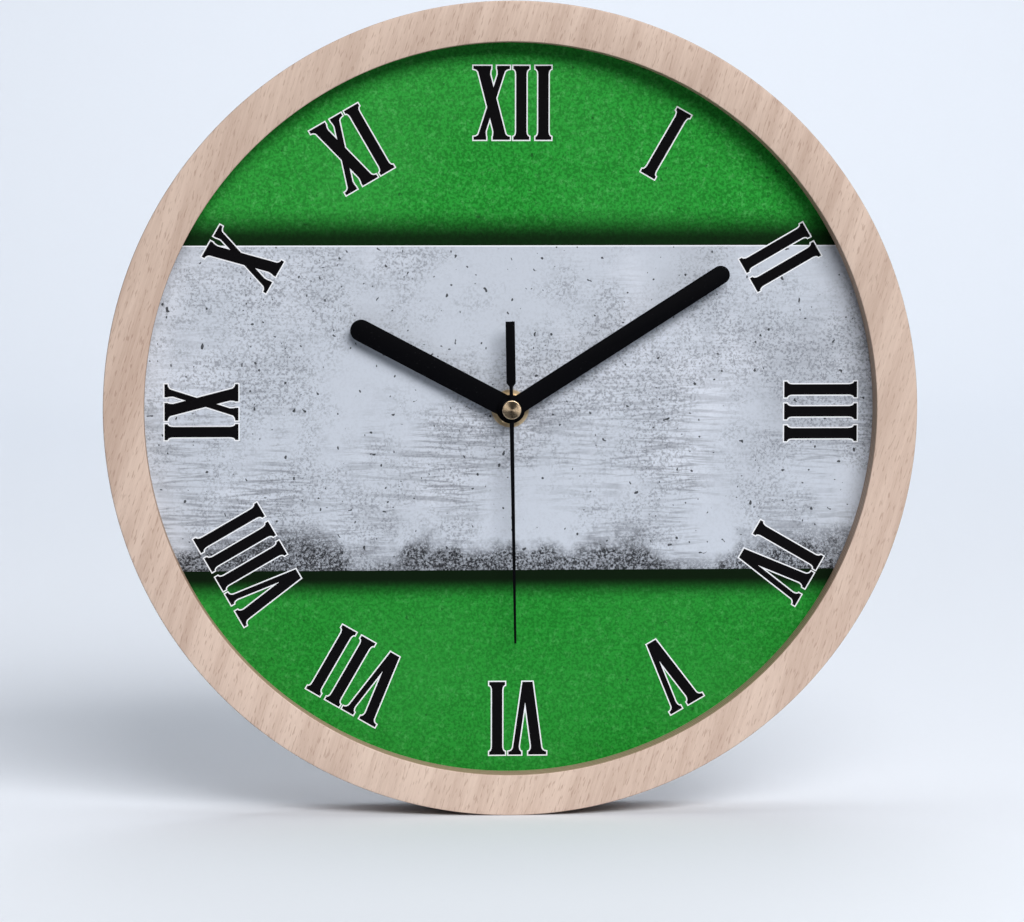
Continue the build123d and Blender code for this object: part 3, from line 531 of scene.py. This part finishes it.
# ---------------------------------------------------------------- washer, nut and bushing at the dial's centre
# Turned brass, a little dull, with fine rings from the lathe. The nut pulls the movement up against the board, with a
# rubber ring behind the board. The three collets that hold the hands on their tubes are the same brass.


TURNING_PITCH = 0.055 * MM


def metal(name, light, dark, roughness, anisotropic=0.0, across=2200.0, along=120.0, radial=False):
    """A bare metal with fine tool marks, stains and slightly uneven polish."""
    material, tree, shader = new_material(name)
    stain = place(tree, patches, {"Scale": 240.0, "Low": 0.4, "High": 0.8, "Detail": 5.0})["Mask"]
    if radial:
        parts = put(tree, "ShaderNodeSeparateXYZ", {0: at_rest(tree)}).outputs
        squares = sums(tree, "ADD", sums(tree, "POWER", parts["X"], 2.0), sums(tree, "POWER", parts["Z"], 2.0))
        marks = sums(tree, "PINGPONG", sums(tree, "SQRT", squares), TURNING_PITCH)
        marks = sums(tree, "DIVIDE", marks, TURNING_PITCH)
        depth = 0.004 * MM
    else:
        marks = place(tree, streaks, {"Angle": 0.0, "Across": across, "Along": along})["Value"]
        depth = 0.01 * MM
    values = {
        "Base Color": tint(tree, sums(tree, "MULTIPLY", stain, 0.5), light, dark),
        "Metallic": 1.0,
        "Roughness": spread(tree, stain, 0.0, 1.0, roughness, roughness + 0.14),
        "Anisotropic": anisotropic,
        "Normal": raised(tree, marks, depth, 0.5),
    }
    feed(tree, shader, values)
    if anisotropic:
        turn = put(tree, "ShaderNodeTangent", direction_type="RADIAL", axis="Y")
        tree.links.new(turn.outputs[0], shader.inputs["Tangent"])
    return material


turned_brass = metal("turned_brass", (0.80, 0.64, 0.42), (0.52, 0.38, 0.22), 0.42, radial=True)
collets = ("hour_hand_collet", "minute_hand_collet", "second_hand_collet")
for node in ("threaded_bushing", "dial_washer", "dial_nut") + collets:
    finish_node(node, turned_brass)


def moulded(name, base, scuff, roughness, grain=900.0, depth=0.012 * MM, specular=0.5):
    """A moulded or pressed non-metal with a fine texture and light scuffs."""
    material, tree, shader = new_material(name)
    fine = place(tree, patches, {"Scale": grain, "Low": 0.3, "High": 0.7, "Detail": 3.0})["Mask"]
    worn = place(tree, patches, {"Scale": 60.0, "Low": 0.55, "High": 0.8, "Detail": 6.0, "Rough": 0.7})["Mask"]
    values = {
        "Base Color": tint(tree, sums(tree, "MULTIPLY", worn, 0.35), base, scuff),
        "Roughness": spread(tree, worn, 0.0, 1.0, roughness, roughness + 0.12),
        "Specular IOR Level": specular,
        "Normal": raised(tree, fine, depth, 0.4),
    }
    feed(tree, shader, values)
    return material


finish_node("rubber_gasket", moulded("soft_rubber", (0.012, 0.012, 0.013), (0.05, 0.05, 0.05), 0.7))


# ---------------------------------------------------------------- hanger plate and screws
# The hanger is pressed from zinc-plated strip and held on the bushing between board and movement. Six countersunk
# screws go in from behind and hold the rings together.

zinc = metal("zinc_plate", (0.56, 0.57, 0.58), (0.36, 0.37, 0.38), 0.34)
for node in ("hanger_plate", "frame_screws", "stator_screws", "clutch_spring"):
    finish_node(node, zinc)


# ---------------------------------------------------------------- movement case, knob, train and motor
# Covers and knob are moulded in black plastic with a fine spark texture, and the wheels and bridge in white acetal.
# The motor has a stamped iron stator, a copper coil on a bobbin and a sintered magnet.

black_plastic = moulded("black_plastic", (0.016, 0.016, 0.017), (0.05, 0.05, 0.052), 0.46, grain=1600.0)
white_plastic = moulded("white_acetal", (0.72, 0.71, 0.66), (0.60, 0.58, 0.52), 0.36, grain=1200.0, depth=0.005 * MM)
for node in ("movement_front_cover", "movement_back_cover", "setting_knob"):
    finish_node(node, black_plastic)
wheels = ("rotor_pinion", "fifth_wheel", "seconds_wheel", "third_wheel", "centre_wheel")
works = ("cannon_pinion", "hour_wheel", "minute_wheel", "train_bridge", "coil_bobbin")
for node in wheels + works:
    finish_node(node, white_plastic)
iron = metal("stamped_iron", (0.34, 0.34, 0.35), (0.2, 0.19, 0.18), 0.4)
for node in ("stator_plate", "coil_core"):
    finish_node(node, iron)
nickel = metal("nickel_plate", (0.66, 0.65, 0.61), (0.46, 0.44, 0.40), 0.2)
for node in ("contact_positive", "contact_negative", "seconds_arbor", "quartz_crystal"):
    finish_node(node, nickel)
winding = metal("copper_wire", (0.70, 0.27, 0.11), (0.42, 0.14, 0.05), 0.3, across=9000.0, along=30.0)
finish_node("coil_winding", winding)
finish_node("rotor_magnet", metal("sintered_magnet", (0.16, 0.16, 0.17), (0.1, 0.1, 0.1), 0.5))
finish_node("circuit_board", moulded("solder_mask", (0.02, 0.13, 0.045), (0.05, 0.2, 0.08), 0.35))
finish_node("circuit_chip", moulded("epoxy_drop", (0.01, 0.01, 0.011), (0.03, 0.03, 0.03), 0.2))


# ---------------------------------------------------------------- battery
# One AA cell in a shrunk-on printed jacket: a dark body with a copper-coloured end and no lettering. Its two ends are
# bare nickel, and it lies in its bay between the contacts.

JACKET_END = 13 * MM
CROWN_END = 1.25 * MM
CASE_END = 0.35 * MM


def battery_jacket():
    material, tree, shader = new_material("battery_jacket")
    low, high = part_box("battery")
    x = put(tree, "ShaderNodeSeparateXYZ", {0: at_rest(tree)}).outputs["X"]
    scuffs = place(tree, patches, {"Scale": 300.0, "Low": 0.6, "High": 0.8, "Detail": 5.0})["Mask"]
    copper = sums(tree, "GREATER_THAN", x, high.x - JACKET_END)
    crown = sums(tree, "GREATER_THAN", x, high.x - CROWN_END)
    bare = sums(tree, "MAXIMUM", crown, sums(tree, "LESS_THAN", x, low.x + CASE_END))
    colour = tint(tree, copper, (0.02, 0.022, 0.026), (0.55, 0.27, 0.12))
    colour = tint(tree, bare, colour, (0.6, 0.59, 0.56))
    colour = tint(tree, sums(tree, "MULTIPLY", scuffs, 0.3), colour, (0.3, 0.3, 0.3))
    values = {
        "Base Color": colour,
        "Metallic": sums(tree, "MAXIMUM", bare, sums(tree, "MULTIPLY", copper, 0.6)),
        "Roughness": spread(tree, scuffs, 0.0, 1.0, 0.24, 0.45),
        "Normal": raised(tree, scuffs, 0.01 * MM, 0.3),
    }
    feed(tree, shader, values)
    return material


finish_node("battery", battery_jacket())


# ---------------------------------------------------------------- hands
# Stamped from half-millimetre aluminium and sprayed satin black. The hour and minute hands are straight bars with
# round ends. The second hand tapers to its tip and has a flat counterweight, and a turned brass cap covers its hub.

HAND_EDGE = 0.07 * MM


def arc(middle, radius, start, end, steps):
    """Points on an arc about (x, y), with angles in degrees from the bar's right."""
    turns = [math.radians(start + (end - start) * i / steps) for i in range(steps + 1)]
    return [(middle[0] + radius * math.cos(t), middle[1] + radius * math.sin(t)) for t in turns]


def circle(radius, sides):
    """A closed circle about the hands' axis."""
    return arc((0, 0), radius, 0, 360 - 360 / sides, sides - 1)


def bar_outline(length, width, hub):
    """A bar that points up, with a round tip and a round hub."""
    half = width / 2
    meet = math.degrees(math.acos(half / hub))
    tip = arc((0, length - half), half, 0, 180, 24)
    return tip + arc((0, 0), hub, 180 - meet, 360 + meet, 48)


def plate(name, outlines, node, angle, material):
    """A flat piece in a CAD node's place, with softened edges. Its outlines point at 12 and are turned by angle."""
    low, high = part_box(node)
    curve = bpy.data.curves.new(name, "CURVE")
    curve.dimensions = "2D"
    curve.fill_mode = "BOTH"
    curve.bevel_depth = HAND_EDGE
    curve.bevel_resolution = 2
    curve.offset = -HAND_EDGE
    curve.extrude = (high.y - low.y) / 2 - HAND_EDGE
    turn = math.radians(angle)
    for outline in outlines:
        spline = curve.splines.new("POLY")
        spline.points.add(len(outline) - 1)
        spline.use_cyclic_u = True
        for point, (x, y) in zip(spline.points, outline):
            right, up = x * math.cos(turn) + y * math.sin(turn), y * math.cos(turn) - x * math.sin(turn)
            point.co = (right, up, 0, 1)
    stand = bpy.data.objects.new(name + "_curve", curve)
    mesh = bpy.data.meshes.new_from_object(stand)
    bpy.data.objects.remove(stand)
    middle = (low.y + high.y) / 2
    for vertex in mesh.vertices:
        x, z, depth = vertex.co
        vertex.co = (x, middle - depth, z)
    mesh.materials.clear()
    mesh.name = name
    return finished(name, mesh, material)


def satin_black():
    material, tree, shader = new_material("satin_black_paint")
    peel = place(tree, patches, {"Scale": 1100.0, "Low": 0.2, "High": 0.8, "Detail": 2.0})["Mask"]
    dust = place(tree, patches, {"Scale": 1500.0, "Low": 0.70, "High": 0.78, "Detail": 1.0})["Mask"]
    values = {
        "Base Color": tint(tree, sums(tree, "MULTIPLY", dust, 0.25), (0.0015, 0.0016, 0.0025), (0.04, 0.04, 0.045)),
        "Roughness": spread(tree, peel, 0.0, 1.0, 0.5, 0.6),
        "Specular IOR Level": 0.03,
        "Normal": raised(tree, peel, 0.006 * MM, 0.3),
    }
    feed(tree, shader, values)
    return material


hand_paint = satin_black()


def bar_hand(node, length, width, hub, bore, angle):
    outlines = [bar_outline(length, width, hub), circle(bore, 40)]
    piece = plate(node + "_blade", outlines, node, angle, hand_paint)
    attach(piece, node)
    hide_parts(node)


bar_hand("hour_hand", length=66.5 * MM, width=8.1 * MM, hub=5.3 * MM, bore=2.51 * MM, angle=297.8)
bar_hand("minute_hand", length=95.2 * MM, width=6.8 * MM, hub=4.7 * MM, bore=1.56 * MM, angle=57.4)


SECOND_HAND_ANGLE = 179.0


def second_hand():
    length, hub, bore = 86.5 * MM, 3.9 * MM, 0.46 * MM
    needle_tip, needle_root, arm, weight = 0.4 * MM, 0.8 * MM, 0.65 * MM, 1.7 * MM
    weight_start, weight_flare, weight_end = 8.5 * MM, 1.2 * MM, 32.5 * MM
    meet = math.degrees(math.acos(needle_root / hub))
    back = math.degrees(math.acos(arm / hub))
    right = [(needle_tip, length)]
    left = [(-needle_tip, length)]
    tail = [
        (-arm, -weight_start),
        (-weight, -weight_start - weight_flare),
        (-weight, -weight_end),
        (weight, -weight_end),
        (weight, -weight_start - weight_flare),
        (arm, -weight_start),
    ]
    outline = right + left + arc((0, 0), hub, 180 - meet, 180 + back, 24) + tail
    outline += arc((0, 0), hub, 360 - back, 360 + meet, 24)
    outlines = [outline, circle(bore, 24)]
    piece = plate("second_hand_needle", outlines, "second_hand", SECOND_HAND_ANGLE, hand_paint)
    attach(piece, "second_hand")
    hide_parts("second_hand")


second_hand()


def brass_cap():
    low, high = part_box("second_hand_cap")
    radius, edge = radii("second_hand_cap")[0], 0.28 * MM
    outline = [(0.0, low.y), *corner(radius - edge, low.y + edge, edge, 270), (radius, high.y), (0.0, high.y)]
    brass = metal("cap_brass", (0.66, 0.51, 0.35), (0.50, 0.37, 0.23), 0.26, anisotropic=0.85, radial=True)
    piece = lathe("brass_cap", outline, brass, segments=96)
    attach(piece, "second_hand")
    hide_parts("second_hand_cap")


brass_cap()


# ---------------------------------------------------------------- the studio
# The clock stands on its rim on a sheet of white paper that sweeps up behind it. A large soft lamp hangs above and to
# the right in front, a weaker one is overhead, and a third lights the paper behind.


def paper_sweep():
    ground = -radii("back_ring")[0]
    near, bend, rise, top, half = -0.30, 2.0, 0.9, 2.6, 3.6
    steps = 24
    profile = [(near, ground)]
    turns = [math.pi / 2 * i / steps for i in range(steps + 1)]
    profile += [(bend + rise * math.sin(t), ground + rise - rise * math.cos(t)) for t in turns]
    profile.append((bend + rise, ground + top))
    points = [(x, y, z) for x in (-half, half) for y, z in profile]
    count = len(profile)
    faces = [(i, i + 1, count + i + 1, count + i) for i in range(count - 1)]
    mesh = bpy.data.meshes.new("paper_sweep")
    mesh.from_pydata(points, [], faces)
    material, tree, shader = new_material("white_paper")
    tooth = place(tree, patches, {"Scale": 300.0, "Low": 0.3, "High": 0.7})["Mask"]
    feed(tree, shader, {
        "Base Color": tint(tree, sums(tree, "MULTIPLY", tooth, 0.15), (0.705, 0.74, 0.80), (0.675, 0.71, 0.77)),
        "Roughness": 0.85,
    })
    finished("paper_sweep", mesh, material)


def lamp(name, place_at, target, size, power, colour):
    data = bpy.data.lights.new(name, "AREA")
    data.shape = "RECTANGLE"
    data.size, data.size_y = size
    data.energy = power
    data.color = colour
    light = bpy.data.objects.new(name, data)
    light.location = place_at
    light.rotation_euler = (Vector(target) - Vector(place_at)).to_track_quat("-Z", "Y").to_euler()
    bpy.context.scene.collection.objects.link(light)


def studio():
    paper_sweep()
    lamp("softbox", (0.9, -2.5, 1.85), (0, 0, 0), (2.6, 1.5), 134, (1.0, 0.985, 0.97))
    lamp("backdrop_lamp", (0.5, 2.0, 2.5), (0.3, 2.9, 0.9), (1.8, 0.6), 38, (0.94, 0.97, 1.0))
    lamp("overhead_lamp", (0.0, 0.35, 2.2), (0.0, 0.35, 0.0), (2.0, 1.6), 21, (0.95, 0.975, 1.0))
    world = bpy.data.worlds.new("room")
    world.use_nodes = True
    room = world.node_tree
    seen = put(room, "ShaderNodeLightPath").outputs["Is Camera Ray"]
    glow = put(room, "ShaderNodeMapRange", {"Value": seen, "To Min": 0.05, "To Max": 0.85}).outputs[0]
    room.links.new(glow, room.nodes["Background"].inputs["Strength"])
    room.nodes["Background"].inputs["Color"].default_value = (0.88, 0.94, 1.0, 1.0)
    bpy.context.scene.world = world
    bpy.context.scene.view_settings.view_transform = "Standard"

    lens = bpy.data.cameras.new("camera")
    lens.sensor_width = 36.0
    lens.lens = 138.7
    lens.clip_start = 0.05
    lens.shift_x, lens.shift_y = 0.1, -0.1
    camera = bpy.data.objects.new("camera", lens)
    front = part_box("front_ring")[0].y
    camera.location = (-0.108, front - 1.4426, 0.098)
    aim = Vector((-0.0377, front, 0.0191))
    camera.rotation_euler = (aim - camera.location).to_track_quat("-Z", "Y").to_euler()
    bpy.context.scene.collection.objects.link(camera)
    bpy.context.scene.camera = camera


studio()
